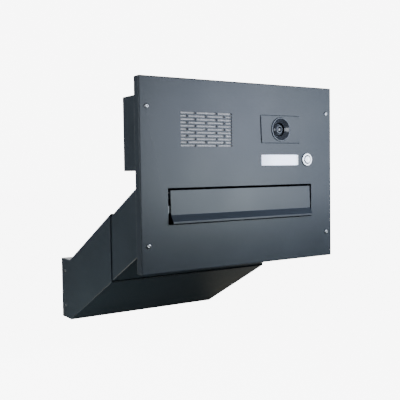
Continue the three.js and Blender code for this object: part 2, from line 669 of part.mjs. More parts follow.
// A ring inside the rear end, with an inward lip that keeps the mail in.
function rearFrame() {
  const x = grow(OUTER_CHUTE.x, -CHUTE_SHEET - GAP);
  const z = grow(REAR.z, -CHUTE_SHEET - GAP);
  const [lipFront, lipRear] = [REAR_FRAME.lipY, REAR_FRAME.lipY + CHUTE_SHEET];
  const ring = runAlongY(
    rectangle(x, z), [REAR_FRAME.front, lipRear],
    [rectangle(grow(x, -CHUTE_SHEET), grow(z, -CHUTE_SHEET))],
  );
  const lip = runAlongY(
    rectangle(x, z), [lipFront, lipRear], [rectangle(grow(x, -REAR_FRAME.lip), grow(z, -REAR_FRAME.lip))],
  );
  return cut(joined(ring, lip), ...rivetHoles(x));
}

// A dome-head rivet through the chute's side and the rear frame, and on the right through the
// hinge leaf as well.
function rearRivet(sign, row) {
  const { headRadius, shankRadius } = RIVET;
  const side = OUTER_CHUTE.x[1];
  const inside = side - 2 * CHUTE_SHEET - 2 * GAP - 1.2;
  const under = GAP + (sign > 0 ? leafX[1] : side);
  const profile = [
    [0, inside], [shankRadius, inside], [shankRadius, under], [headRadius, under],
    [headRadius * 0.9, under + 0.9], [headRadius * 0.5, under + 1.5], [0, under + 1.7],
  ];
  const facing = sign > 0 ? profile : profile.map(([r, x]) => [r, -x]).reverse();
  return turnedAboutX(facing, RIVET.y, rivetHeight(row));
}

// A profile of (radius, height) points turned about a clamp screw's line, which is square to the
// outer chute's sloping top. Height 0 is on that top.
function clampTurned(profile, sign, segments = SMALL_SEGMENTS) {
  const geometry = lathed(profile, segments);
  geometry.rotateX(Math.PI / 2 - Math.atan(SLOPE));
  return solidOf(geometry.translate(sign * CLAMP.x, CLAMP.y, outerTop(CLAMP.y)));
}

// A knob-head screw whose tip bears on the inner chute.
function clampScrew(sign) {
  const clearance = (outerTop(CLAMP.y) - innerTop(CLAMP.y)) / Math.sqrt(1 + SLOPE * SLOPE);
  const tip = -clearance + GAP;
  const under = CLAMP.nutHeight + GAP;
  return clampTurned([
    [0, tip], [CLAMP.screwRadius, tip], [CLAMP.screwRadius, under], [8, under], [9, under + 1.2],
    [9, under + 4.6], [8, under + 6], [0, under + 6],
  ], sign);
}

const chutes = () => [
  piece('inner_chute', innerChute(), POWDER_COAT),
  piece('outer_chute', outerChute(), POWDER_COAT),
  piece('rear_frame', rearFrame(), POWDER_COAT),
  ...atCorners('rear_rivet', rearRivet, STAINLESS),
  ...atSides('clamp_screw', clampScrew, BLACK_PLASTIC),
];

// ---------------------------------------------------------------- rear door

const LOCK_Z = (REAR.z[0] + REAR.z[1]) / 2;
const knuckleLength = (REAR.z[1] - REAR.z[0] - 2 * HINGE.inset) / HINGE.knuckles;

const knuckleSpan = (i) => {
  const low = REAR.z[0] + HINGE.inset + i * knuckleLength;
  return [low + GAP / 2, low + knuckleLength - GAP / 2];
};

// A hinge leaf lies on one side of the pin, towards -1 (the chute) or +1 (the door), and has
// every second knuckle. Beside the other leaf's knuckles its plate is cut back.
function hingeLeaf(towards, firstKnuckle) {
  const knuckle = (i) => {
    const ring = circle(HINGE.x, HINGE.y, HINGE.knuckleRadius, SMALL_SEGMENTS);
    return runAlongZ(ring, knuckleSpan(i));
  };
  const reach = towards < 0 ? HINGE.leaf : DOOR.y[1] - HINGE.y - 0.6;
  const plateY = (from) => {
    const ends = [HINGE.y + towards * from, HINGE.y + towards * reach];
    return ends[0] < ends[1] ? ends : ends.reverse();
  };
  const numbers = Array.from({ length: HINGE.knuckles }, (_, i) => i);
  const own = numbers.filter((i) => i % 2 === firstKnuckle);
  const plate = block(leafX, plateY(HINGE.knuckleRadius + 2 * GAP), grow(REAR.z, -HINGE.inset - GAP));
  const tongues = own.map((i) => block(leafX, plateY(0), knuckleSpan(i)));
  const bore = runAlongZ(circle(HINGE.x, HINGE.y, HINGE.pinRadius + GAP), grow(REAR.z, 1));
  return cut(joined(plate, ...tongues, ...own.map(knuckle)), bore, ...rivetHoles(leafX));
}

function hingePin() {
  const shank = runAlongZ(circle(HINGE.x, HINGE.y, HINGE.pinRadius), grow(REAR.z, -HINGE.inset + 1));
  const headLow = REAR.z[1] - HINGE.inset + GAP;
  const head = runAlongZ(circle(HINGE.x, HINGE.y, HINGE.knuckleRadius - 0.4), [headLow, headLow + 1.5]);
  return joined(shank, head);
}

// A folded pan that closes the chute's rear end.
function rearDoor() {
  const outside = block(OUTER_CHUTE.x, DOOR.y, REAR.z);
  const inside = block(
    grow(OUTER_CHUTE.x, -DOOR.sheet), [DOOR.y[0] - 1, DOOR.y[1] - DOOR.sheet], grow(REAR.z, -DOOR.sheet),
  );
  const lockHole = rodAlongY(LOCK.barrelRadius + GAP, grow(DOOR.y, 1), LOCK.x, LOCK_Z, ROUND_SEGMENTS);
  return cut(outside, inside, lockHole);
}

// The lock's barrel with its round flange outside the door.
const lockBody = () => turned([
  [LOCK.plugRadius + GAP, LOCK.barrelEnd], [LOCK.barrelRadius, LOCK.barrelEnd],
  [LOCK.barrelRadius, DOOR.y[1] + GAP], [11.5, DOOR.y[1] + GAP], [11.5, DOOR.y[1] + 1.6],
  [10.6, DOOR.y[1] + 2.4], [LOCK.plugRadius + GAP, DOOR.y[1] + 2.4], [LOCK.plugRadius + GAP, LOCK.barrelEnd],
], LOCK.x, LOCK_Z);

function lockNut() {
  const high = DOOR.y[1] - DOOR.sheet - GAP;
  const span = [high - 3, high];
  const hexagon = rodAlongY(13, span, LOCK.x, LOCK_Z, 6);
  return cut(hexagon, rodAlongY(LOCK.barrelRadius + GAP, grow(span, 1), LOCK.x, LOCK_Z, ROUND_SEGMENTS));
}

const CAM = { thickness: 2.5, boss: 4, tipRadius: 5 };
const camY = [LOCK.barrelEnd - GAP - CAM.thickness, LOCK.barrelEnd - GAP];

// The plug turns with the key. Its rear boss carries the cam.
function lockPlug() {
  const outside = DOOR.y[1] + 2;
  const shape = turned([
    [0, camY[0] + 0.1], [CAM.boss, camY[0] + 0.1], [CAM.boss, LOCK.barrelEnd], [LOCK.plugRadius, LOCK.barrelEnd],
    [LOCK.plugRadius, outside], [0, outside],
  ], LOCK.x, LOCK_Z, SMALL_SEGMENTS);
  const keySlot = block(around(LOCK.x, 1.4), [outside - 9, outside + 1], around(LOCK_Z, 7));
  const screwBore = rodAlongY(1.8, [camY[0] - 1, camY[0] + 9], LOCK.x, LOCK_Z);
  return cut(shape, keySlot, screwBore);
}

// The cam stands upright when the door is free to open, and turns sideways behind the frame's lip.
function lockCam() {
  const tip = LOCK_Z + LOCK.camReach - CAM.tipRadius;
  const head = rodAlongY(8, camY, LOCK.x, LOCK_Z);
  const arm = block(around(LOCK.x, 2 * CAM.tipRadius), camY, [LOCK_Z, tip]);
  const end = rodAlongY(CAM.tipRadius, camY, LOCK.x, tip);
  return cut(joined(head, arm, end), rodAlongY(CAM.boss + GAP, grow(camY, 1), LOCK.x, LOCK_Z));
}

function camScrew() {
  const under = camY[0] - GAP;
  return turned([
    [0, under - 2.6], [4, under - 2.4], [5.4, under - 1.2], [5.4, under], [1.5, under], [1.5, under + 8],
    [0, under + 8],
  ], LOCK.x, LOCK_Z, SMALL_SEGMENTS);
}

const rearDoorGroup = () => [
  piece('rear_door', rearDoor(), POWDER_COAT),
  piece('chute_hinge_leaf', hingeLeaf(-1, 0), STAINLESS),
  piece('door_hinge_leaf', hingeLeaf(1, 1), STAINLESS),
  piece('door_hinge_pin', hingePin(), STAINLESS),
  piece('lock_body', lockBody(), STAINLESS),
  piece('lock_nut', lockNut(), ZINC),
  piece('lock_plug', lockPlug(), STAINLESS),
  piece('lock_cam', lockCam(), ZINC),
  piece('cam_screw', camScrew(), ZINC),
];

// ---------------------------------------------------------------- the whole mailbox

const mailbox = new THREE.Group();
mailbox.add(
  ...frontPlate(),
  ...letterFlapGroup(),
  ...speechUnit(),
  ...camera(),
  ...nameplate(),
  ...bellButton(),
  ...boxBehindPlate(),
  ...chutes(),
  ...rearDoorGroup(),
);
mailbox.position.set(0, -PLATE.depth, -ORIGIN_HEIGHT);

export default mailbox;
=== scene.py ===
"""Looks of a through-wall mailbox with a door station in its front plate, built round its CAD frame.

Metres, in the CAD's frame: +X is right, +Y goes into the wall and +Z is up, seen from the street.
"""

import json
import math

import bmesh
import bpy
from mathutils import Matrix, Vector


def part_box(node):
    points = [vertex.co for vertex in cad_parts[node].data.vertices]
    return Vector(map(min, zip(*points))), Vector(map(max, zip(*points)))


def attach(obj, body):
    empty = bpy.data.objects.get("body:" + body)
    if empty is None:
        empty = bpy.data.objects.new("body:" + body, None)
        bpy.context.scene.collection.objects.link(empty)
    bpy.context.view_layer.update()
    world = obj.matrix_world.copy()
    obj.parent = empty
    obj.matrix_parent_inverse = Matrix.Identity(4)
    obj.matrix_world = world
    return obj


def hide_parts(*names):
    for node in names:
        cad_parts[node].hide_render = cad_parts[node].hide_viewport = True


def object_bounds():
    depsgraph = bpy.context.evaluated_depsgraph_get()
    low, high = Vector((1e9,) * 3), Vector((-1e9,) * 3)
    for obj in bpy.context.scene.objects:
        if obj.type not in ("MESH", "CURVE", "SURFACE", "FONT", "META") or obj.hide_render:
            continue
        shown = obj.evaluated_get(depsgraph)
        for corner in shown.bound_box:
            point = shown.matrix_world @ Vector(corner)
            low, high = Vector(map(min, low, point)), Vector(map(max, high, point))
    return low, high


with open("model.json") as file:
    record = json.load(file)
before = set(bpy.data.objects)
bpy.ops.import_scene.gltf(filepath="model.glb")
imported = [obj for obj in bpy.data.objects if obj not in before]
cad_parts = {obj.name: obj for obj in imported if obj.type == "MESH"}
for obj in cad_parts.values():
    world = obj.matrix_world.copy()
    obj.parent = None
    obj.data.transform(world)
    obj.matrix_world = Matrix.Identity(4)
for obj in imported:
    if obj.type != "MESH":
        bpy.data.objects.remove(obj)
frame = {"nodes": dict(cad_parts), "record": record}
cad_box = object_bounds()

MM = 0.001
NODES = frame["nodes"]
BODY_OF = {node: body for body, nodes in frame["record"]["behaviour"]["bodies"].items() for node in nodes}


# ---------------------------------------------------------------- camera

CAMERA_PLACE = Vector((-0.690, -0.9474, 0.144))
CAMERA_YAW = math.radians(32.66)  # from +Y towards +X
CAMERA_PITCH = math.radians(-2.706)
CAMERA_ROLL = math.radians(-0.808)
CAMERA_LENS = 58.93  # millimetres
SENSOR_WIDTH = 36  # millimetres
NEAREST_SEEN = 0.05
FARTHEST_SEEN = 100


def make_camera():
    ahead = Vector((
        math.sin(CAMERA_YAW) * math.cos(CAMERA_PITCH),
        math.cos(CAMERA_YAW) * math.cos(CAMERA_PITCH),
        math.sin(CAMERA_PITCH),
    ))
    level_right = Vector((math.cos(CAMERA_YAW), -math.sin(CAMERA_YAW), 0))
    level_up = level_right.cross(ahead)
    right = math.cos(CAMERA_ROLL) * level_right + math.sin(CAMERA_ROLL) * level_up
    up = math.cos(CAMERA_ROLL) * level_up - math.sin(CAMERA_ROLL) * level_right
    data = bpy.data.cameras.new("camera")
    data.lens = CAMERA_LENS
    data.sensor_width = SENSOR_WIDTH
    data.clip_start = NEAREST_SEEN
    data.clip_end = FARTHEST_SEEN
    camera = bpy.data.objects.new("camera", data)
    turn = Matrix((right, up, -ahead)).transposed().to_4x4()
    camera.matrix_world = Matrix.Translation(CAMERA_PLACE) @ turn
    bpy.context.scene.collection.objects.link(camera)
    bpy.context.scene.camera = camera


make_camera()


# ---------------------------------------------------------------- node graphs

NOISE_RANGE = (0.3, 0.7)  # where most values of one noise lie
SUM_RANGE = (0.7, 1.3)  # where most sums of two noises lie


class Graph:
    """The nodes of a material or of the world."""

    def __init__(self, tree, coordinates):
        self.tree = tree
        self.place = self.add("ShaderNodeTexCoord").outputs[coordinates]

    def add(self, kind, inputs=None, **settings):
        node = self.tree.nodes.new(kind)
        for key, value in settings.items():
            setattr(node, key, value)
        for key, value in (inputs or {}).items():
            self.feed(node.inputs[key], value)
        return node

    def feed(self, socket, value):
        if isinstance(value, bpy.types.NodeSocket):
            self.tree.links.new(value, socket)
        else:
            socket.default_value = value

    def stretched(self, scale):
        return self.add("ShaderNodeMapping", {"Vector": self.place, "Scale": scale}).outputs[0]

    def noise(self, scale, detail=2.0, rough=0.5, vector=None):
        """Values round 0.5 whose grain is about 1 / scale metres."""
        inputs = {"Vector": vector or self.place, "Scale": scale, "Detail": detail, "Roughness": rough}
        return self.add("ShaderNodeTexNoise", inputs).outputs["Fac"]

    def math(self, operation, a, b=0.0):
        return self.add("ShaderNodeMath", {0: a, 1: b}, operation=operation).outputs[0]

    def ranged(self, value, low, high, to_low=0.0, to_high=1.0, kind="LINEAR"):
        inputs = {0: value, 1: low, 2: high, 3: to_low, 4: to_high}
        return self.add("ShaderNodeMapRange", inputs, interpolation_type=kind).outputs[0]

    def spread(self, noise, to_low=0.0, to_high=1.0):
        return self.ranged(noise, *NOISE_RANGE, to_low, to_high)

    def spread_sum(self, noise, other, to_low, to_high):
        return self.ranged(self.math("ADD", noise, other), *SUM_RANGE, to_low, to_high)

    def blend(self, share, a, b):
        mix = self.add("ShaderNodeMix", data_type="RGBA")
        for index, value in ((0, share), (6, a), (7, b)):
            self.feed(mix.inputs[index], value)
        return mix.outputs[2]

    def bump(self, height, depth, strength):
        inputs = {"Height": height, "Distance": depth, "Strength": strength}
        return self.add("ShaderNodeBump", inputs).outputs[0]


def colour(*srgb):
    """A colour given as sRGB numbers from 0 to 255, as linear RGBA."""
    def linear(value):
        value /= 255
        return value / 12.92 if value <= 0.04045 else ((value + 0.055) / 1.055) ** 2.4
    return (*map(linear, srgb), 1)


def shade(rgba, factor):
    return (*(min(1, c * factor) for c in rgba[:3]), 1)


def material(name, make, **sockets):
    """A material whose shader's own sockets take the plain values, and whose make(graph) gives the rest."""
    made = bpy.data.materials.new(name)
    made.use_nodes = True
    graph = Graph(made.node_tree, "Object")
    shader = made.node_tree.nodes["Principled BSDF"]
    for key, value in {**sockets, **make(graph)}.items():
        graph.feed(shader.inputs[key], value)
    return made


# ---------------------------------------------------------------- materials

def powder_coat(base):
    """Fine orange peel, with a faint cloudiness in colour and gloss."""
    def make(graph):
        cloud = graph.noise(14, 3)
        peel = graph.noise(900, 2)
        speck = graph.noise(2600, 1)
        tone = graph.math("ADD", graph.math("MULTIPLY", cloud, 0.6), graph.math("MULTIPLY", speck, 0.4))
        return {
            "Base Color": graph.blend(graph.spread(tone), shade(base, 0.9), shade(base, 1.1)),
            "Roughness": graph.spread_sum(cloud, peel, 0.3, 0.38),
            "Normal": graph.bump(peel, 0.03 * MM, 0.5),
        }
    return make


def brushed(base, stretch):
    """Metal with fine straight marks. They run along the axis with the small stretch."""
    def make(graph):
        marks = graph.noise(1, 4, 0.7, graph.stretched(stretch))
        stain = graph.noise(60, 2)
        return {
            "Base Color": graph.blend(graph.spread(stain), shade(base, 0.92), base),
            "Roughness": graph.spread(marks, 0.2, 0.38),
            "Normal": graph.bump(marks, 0.01 * MM, 0.6),
        }
    return make


def faced(base, x, z, rough=(0.16, 0.3)):
    """Metal turned on a lathe: its marks are circles about a line along Y at x, z."""
    def make(graph):
        split = graph.add("ShaderNodeSeparateXYZ", {0: graph.place})
        across = graph.math("SUBTRACT", split.outputs[0], x)
        upward = graph.math("SUBTRACT", split.outputs[2], z)
        squared = graph.math("ADD", graph.math("POWER", across, 2), graph.math("POWER", upward, 2))
        radius = graph.add("ShaderNodeCombineXYZ", {0: graph.math("SQRT", squared)}).outputs[0]
        rings = graph.noise(2600, 3, 0.6, radius)
        return {
            "Base Color": graph.blend(graph.spread(rings), shade(base, 0.88), base),
            "Roughness": graph.spread(rings, *rough),
            "Normal": graph.bump(rings, 0.008 * MM, 0.5),
        }
    return make


def plated(base):
    """Zinc plating: small patches of slightly different tone and gloss."""
    def make(graph):
        patches = graph.add("ShaderNodeTexVoronoi", {"Vector": graph.place, "Scale": 420.0}).outputs["Color"]
        tone = graph.add("ShaderNodeSeparateXYZ", {0: patches}).outputs[0]
        haze = graph.noise(45, 3)
        return {
            "Base Color": graph.blend(tone, shade(base, 0.86), base),
            "Roughness": graph.ranged(graph.math("ADD", tone, haze), 0.4, 1.6, 0.3, 0.5),
            "Normal": graph.bump(graph.noise(1500, 2), 0.01 * MM, 0.4),
        }
    return make


def moulded(base, rough, grain=1600, depth=0.02):
    """Plastic or rubber with a fine moulded grain."""
    def make(graph):
        texture = graph.noise(grain, 2)
        sheen = graph.noise(30, 2)
        return {
            "Base Color": graph.blend(graph.spread(sheen), shade(base, 0.85), shade(base, 1.1)),
            "Roughness": graph.spread_sum(texture, sheen, rough - 0.05, rough + 0.05),
            "Normal": graph.bump(texture, depth * MM, 0.4),
        }
    return make


def polished(base, low, high):
    """Smooth dark plastic with a barely uneven polish."""
    def make(graph):
        handled = graph.noise(70, 3)
        return {
            "Base Color": graph.blend(handled, shade(base, 0.8), shade(base, 1.2)),
            "Roughness": graph.spread(handled, low, high),
        }
    return make


def coated_glass(graph):
    """A dark lens whose colour turns from violet to green towards its rim: a painted reflection of its
    coating's tint.
    """
    facing = graph.add("ShaderNodeLayerWeight", {"Blend": 0.35}).outputs["Facing"]
    smudge = graph.noise(150, 2)
    return {
        # The violet-to-green shift is a painted reflection.
        "Base Color": graph.blend(facing, colour(18, 16, 30), colour(16, 34, 30)),
        "Roughness": graph.spread(smudge, 0.02, 0.06),
    }


def lit_acrylic(graph):
    """Opal acrylic in front of a strip of lights. Its glow is painted dimmer towards its left end, as
    painted shade.
    """
    low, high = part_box("nameplate_window")
    along = graph.add("ShaderNodeSeparateXYZ", {0: graph.place}).outputs[0]
    # The glow's fade towards the left end is painted shade.
    fade_end = low.x + 0.4 * (high.x - low.x)
    left_shade_fade = graph.ranged(along, low.x, fade_end, 0.6, 1, "SMOOTHSTEP")
    cloudy = graph.spread(graph.noise(90, 2), 0.96, 1.0)
    glow = graph.math("MULTIPLY", left_shade_fade, cloudy)
    return {
        "Base Color": graph.blend(cloudy, colour(214, 224, 234), colour(238, 243, 250)),
        "Emission Strength": graph.math("MULTIPLY", glow, 3.2),
        "Roughness": graph.spread(graph.noise(400, 2), 0.12, 0.2),
    }


def paper(graph):
    fibres = graph.noise(1, 4, 0.7, graph.stretched((900, 900, 2600)))
    return {
        "Base Color": graph.blend(fibres, colour(226, 226, 220), colour(248, 248, 244)),
        "Roughness": graph.spread(fibres, 0.75, 0.9),
        "Normal": graph.bump(fibres, 0.01 * MM, 0.4),
    }


def board_lacquer(graph):
    """Green lacquer over copper tracks that run in two directions."""
    tracks = graph.add(
        "ShaderNodeTexBrick",
        {"Vector": graph.place, "Scale": 160.0, "Mortar Size": 0.06, "Bias": -0.4,
         "Color1": colour(24, 74, 46), "Color2": colour(28, 84, 54), "Mortar": colour(60, 120, 76)},
    ).outputs["Color"]
    return {
        "Base Color": tracks,
        "Roughness": graph.spread(graph.noise(300, 2), 0.3, 0.45),
    }


def perforated(base, pitch):
    """Sheet with round holes in staggered rows, along X and Z. The holes are painted darker, as painted
    shade, and sunk by a bump.
    """
    def make(graph):
        split = graph.add("ShaderNodeSeparateXYZ", {0: graph.place})
        turns = 2 * math.pi / pitch
        waves = [graph.math("SINE", graph.math("MULTIPLY", split.outputs[axis], turns)) for axis in (0, 2)]
        hole_and_shade = graph.ranged(graph.math("MULTIPLY", *waves), 0.25, 0.4)
        return {
            # The darker colour in the holes is painted shade.
            "Base Color": graph.blend(hole_and_shade, base, shade(base, 0.45)),
            "Roughness": graph.spread(graph.noise(500, 2), 0.45, 0.6),
            "Normal": graph.bump(graph.math("SUBTRACT", 1.0, hole_and_shade), 0.2 * MM, 0.6),
        }
    return make


def cone_paper(graph):
    low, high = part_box("speaker_cone")
    return faced(colour(52, 50, 50), (low.x + high.x) / 2, (low.z + high.z) / 2, (0.8, 0.95))(graph)


BUTTON_LOW, BUTTON_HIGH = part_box("button_collar")
BUTTON_MIDDLE = (BUTTON_LOW + BUTTON_HIGH) / 2
LOCK_LOW, LOCK_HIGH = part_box("lock_body")
LOCK_MIDDLE = (LOCK_LOW + LOCK_HIGH) / 2

ANTHRACITE = colour(60, 67, 74)
STEEL = colour(214, 216, 218)

COAT = material("powder_coat", powder_coat(ANTHRACITE))
STEEL_BRUSHED = material("stainless", brushed(STEEL, (2600, 2600, 90)), Metallic=1.0)
STEEL_FACED = material(
    "stainless_faced", faced(colour(236, 237, 240), BUTTON_MIDDLE.x, BUTTON_MIDDLE.z), Metallic=1.0)
STEEL_LOCK = material("stainless_lock", faced(STEEL, LOCK_MIDDLE.x, LOCK_MIDDLE.z), Metallic=1.0)
ZINC = material("zinc", plated(colour(178, 182, 184)), Metallic=1.0)
BLACK_PLASTIC = material("black_plastic", moulded(colour(30, 32, 34), 0.5))
# A black part with a mid-grey base colour: painted sheen, for the grey that its reflections give it.
GLOSS_BLACK_PAINTED_SHEEN = material(
    "gloss_black", polished(colour(94, 98, 104), 0.18, 0.28), **{"Metallic": 0.4, "Coat Weight": 0.6})
LENS_GLASS = material("lens_glass", coated_glass, **{"Coat Weight": 1.0, "IOR": 1.6})
OPAL = material(
    "opal_acrylic", lit_acrylic, **{"Emission Color": colour(205, 224, 255), "Subsurface Weight": 0.2})
# The rivets get a darker copy of the zinc plating: painted shade that dims them.
RIVET_ZINC_SHADED = material("rivet_zinc_shaded", plated(colour(118, 121, 124)), Metallic=1.0)
CARD = material("card", paper)
RUBBER = material("rubber", moulded(colour(26, 27, 28), 0.8, 900, 0.04))
BOARD = material("circuit_board", board_lacquer)
TERMINAL = material("terminal_grey", moulded(colour(142, 148, 153), 0.45))
CONE = material("paper_cone", cone_paper)
MESH_STEEL = material("speaker_mesh_steel", perforated(colour(204, 200, 196), 1.1 * MM), Metallic=0.6)

SLOT_MATERIAL = {
    "powder_coat": COAT, "stainless": STEEL_BRUSHED, "zinc": ZINC, "black_plastic": BLACK_PLASTIC,
    "gloss_black": GLOSS_BLACK_PAINTED_SHEEN, "lens_glass": LENS_GLASS, "opal_acrylic": OPAL, "card": CARD,
    "rubber": RUBBER, "circuit_board": BOARD, "terminal_grey": TERMINAL, "paper_cone": CONE,
}
NODE_MATERIAL = {
    "speaker_mesh": MESH_STEEL, "button_collar": STEEL_FACED, "button_cap": STEEL_FACED,
    "lock_body": STEEL_LOCK, "lock_plug": STEEL_LOCK,
    **{node: RIVET_ZINC_SHADED for node in NODES if node.startswith("rear_rivet")},
}
SLOT_OF = {part["node"]: part["material_slot"] for part in frame["record"]["subparts"]}


def finish_of(node):
    return NODE_MATERIAL.get(node) or SLOT_MATERIAL[SLOT_OF[node]]


# ---------------------------------------------------------------- meshes

RIM = 0.2 * MM  # the radius of a deburred edge
WELD = 0.002 * MM  # corners nearer than this are one
FLAT_ANGLE = math.radians(0.5)  # faces that meet at less are one flat
CREASE_ANGLE = math.radians(38)  # shading is smooth over less
SHARP_ANGLE = 50  # degrees
BEND_SEGMENTS = 4
SEGMENTS = 64  # round a turned piece
FINE_SEGMENTS = 96
NEARLY_ZERO = 1e-6


def shown_as(name, bm, node):
    """A bmesh as a piece that rides with a CAD node, takes its finish, and stands for it."""
    bmesh.ops.recalc_face_normals(bm, faces=bm.faces)
    mesh = bpy.data.meshes.new(name)
    bm.to_mesh(mesh)
    bm.free()
    mesh.materials.append(finish_of(node))
    mesh.shade_smooth()
    mesh.set_sharp_from_angle(angle=CREASE_ANGLE)
    piece = bpy.data.objects.new(name, mesh)
    bpy.context.scene.collection.objects.link(piece)
    weights = piece.modifiers.new("weights", "WEIGHTED_NORMAL")
    weights.keep_sharp = True
    weights.weight = 100  # flat areas keep their own normals, up to the bevels
    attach(piece, BODY_OF[node])
    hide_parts(node)


def faces_of(node):
    """A copy of a CAD node's mesh, with each flat area merged."""
    bm = bmesh.new()
    bm.from_mesh(NODES[node].data)
    bmesh.ops.remove_doubles(bm, verts=bm.verts, dist=WELD)
    bmesh.ops.dissolve_limit(bm, angle_limit=FLAT_ANGLE, verts=bm.verts, edges=bm.edges)
    return bm


def fold_angle(edge):
    return math.degrees(edge.calc_face_angle(0)) if len(edge.link_faces) == 2 else 0


def sharp(edge):
    return fold_angle(edge) > SHARP_ANGLE


def rounded(bm, radius, picks, segments=1, clamped=True):
    """Rounds the edges that picks says."""
    bmesh.ops.bevel(
        bm, geom=[edge for edge in bm.edges if picks(edge)], offset=radius, offset_type="OFFSET",
        segments=segments, profile=0.5, affect="EDGES", clamp_overlap=clamped,
    )


def on_outside(node):
    """Says whether an edge lies along an outer edge of a CAD node's box."""
    low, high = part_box(node)
    slack = 0.05 * MM

    def picks(edge):
        ends = [vertex.co for vertex in edge.verts]
        sides = [
            axis for axis in "xyz"
            if any(all(abs(getattr(end, axis) - getattr(side, axis)) < slack for end in ends)
                   for side in (low, high))
        ]
        return len(sides) >= 2 and sharp(edge)
    return picks


def soft_sheet(node, bends, bend_radius, pierced=False):
    """A folded sheet: its bends get a bend's radius and its other edges a deburred rim.

    The flats of a pierced sheet are cut into even triangles, so that none is too thin for the rims."""
    bm = faces_of(node)
    if pierced:
        flats = [face for face in bm.faces if len(face.verts) > 4]
        bmesh.ops.triangulate(bm, faces=flats, quad_method="BEAUTY", ngon_method="BEAUTY")
    rounded(bm, bend_radius, bends, BEND_SEGMENTS)
    rounded(bm, RIM, sharp, clamped=not pierced)
    shown_as(f"{node}_sheet", bm, node)


def soft_block(node, radius, segments=2):
    bm = faces_of(node)
    rounded(bm, radius, sharp, segments)
    shown_as(f"{node}_body", bm, node)


def soft_front(node, front_radius, radius):
    """A block whose front edges are rounder than the others."""
    bm = faces_of(node)
    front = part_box(node)[0].y

    def in_front(edge):
        return all(vertex.co.y < front + radius for vertex in edge.verts)

    rounded(bm, front_radius, in_front, BEND_SEGMENTS)
    rounded(bm, radius, sharp, 2)
    shown_as(f"{node}_body", bm, node)


def hexagon(corner_radius):
    """The radius, at an angle, of a hexagon."""
    sixth = math.pi / 3
    return lambda angle: corner_radius * math.cos(sixth / 2) / math.cos(angle % sixth - sixth / 2)


def slot_outline(half_width, half_height):
    """The radius, at an angle, of an upright slot."""
    return lambda angle: min(
        half_width / max(abs(math.cos(angle)), NEARLY_ZERO),
        half_height / max(abs(math.sin(angle)), NEARLY_ZERO),
    )


def lobed(radius, lobes, depth):
    """The radius, at an angle, of a round with shallow hollows between its lobes."""
    return lambda angle: radius - depth * (0.5 - 0.5 * math.cos(lobes * angle))


def face_place(node, facing):
    """The matrix that takes (across, up, depth) at a round piece's face to the frame.

    facing is the axis that the face looks along: "-y", "+y", "-x" or "+x"."""
    low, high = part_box(node)
    side = low if facing[0] == "-" else high
    origin = (low + high) / 2
    setattr(origin, facing[1], getattr(side, facing[1]))
    inward = Vector((1, 0, 0)) if facing[1] == "x" else Vector((0, 1, 0))
    if facing[0] == "+":
        inward.negate()
    return Matrix.Translation(origin) @ inward.to_track_quat("Z", "Y").to_matrix().to_4x4()


def turned(bm, rings, place, segments):
    """Adds rings of (radius, depth) in millimetres, skinned in order, to a bmesh.

    A radius may be a function of the angle. Rings that start and end at radius 0 close there, and
    the others close on themselves."""
    angles = [2 * math.pi * i / segments for i in range(segments)]
    loops = []
    for radius, depth in rings:
        if radius == 0:
            loops.append([bm.verts.new(place @ Vector((0, 0, depth * MM)))] * segments)
            continue
        reach = radius if callable(radius) else lambda _, fixed=radius: fixed
        loops.append([
            bm.verts.new(place @ (Vector((reach(a) * math.cos(a), reach(a) * math.sin(a), depth)) * MM))
            for a in angles
        ])
    if rings[0][0] != 0:
        loops.append(loops[0])
    for here, there in zip(loops, loops[1:]):
        for i in range(segments):
            j = (i + 1) % segments
            corners = list(dict.fromkeys((here[i], here[j], there[j], there[i])))
            if len(corners) > 2:
                bm.faces.new(corners)


def turned_piece(node, rings, facing="-y", segments=SEGMENTS, place=None):
    bm = bmesh.new()
    turned(bm, rings, place or face_place(node, facing), segments)
    shown_as(f"{node}_turned", bm, node)


# ---------------------------------------------------------------- stage

BACKDROP_RADIANCE = 8.0
FLOOR_RADIANCE = 7.8  # with the light that the floor gives back, no horizon shows
FLOOR_RADIUS = 30
FLOOR_DROP = 0.6
SKY_RADIANCE = 0.07
GROUND_RADIANCE = 0.008
HORIZON_BAND = (-0.15, 0.1)


def make_floor():
    bm = bmesh.new()
    bmesh.ops.create_circle(bm, cap_ends=True, radius=FLOOR_RADIUS, segments=FINE_SEGMENTS)
    mesh = bpy.data.meshes.new("floor")
    bm.to_mesh(mesh)
    bm.free()
    floor = bpy.data.objects.new("floor", mesh)
    floor.location.z = cad_box[0].z - FLOOR_DROP
    bpy.context.scene.collection.objects.link(floor)
    pale = material(
        "pale_floor", moulded(colour(244, 244, 245), 0.8, 60, 0.05),
        **{"Emission Color": (1, 1, 1, 1), "Emission Strength": FLOOR_RADIANCE})
    mesh.materials.append(pale)
    floor.visible_diffuse = False
    floor.visible_glossy = False


make_floor()


def make_world():
    """A dim studio, darker below the horizon. The camera sees it as a bright backdrop."""
    world = bpy.data.worlds.new("studio")
    world.use_nodes = True
    bpy.context.scene.world = world
    graph = Graph(world.node_tree, "Generated")
    height = graph.add("ShaderNodeSeparateXYZ", {0: graph.place}).outputs[2]
    level = graph.ranged(height, *HORIZON_BAND, GROUND_RADIANCE, SKY_RADIANCE, "SMOOTHSTEP")
    tint = graph.blend(level, colour(206, 214, 220), colour(236, 240, 246))
    seen = graph.add("ShaderNodeLightPath").outputs["Is Camera Ray"]
    strength = graph.math("MAXIMUM", graph.math("MULTIPLY", seen, BACKDROP_RADIANCE), level)
    shown = graph.blend(seen, tint, (1, 1, 1, 1))
    background = world.node_tree.nodes["Background"]
    graph.feed(background.inputs["Color"], shown)
    graph.feed(background.inputs["Strength"], strength)


make_world()


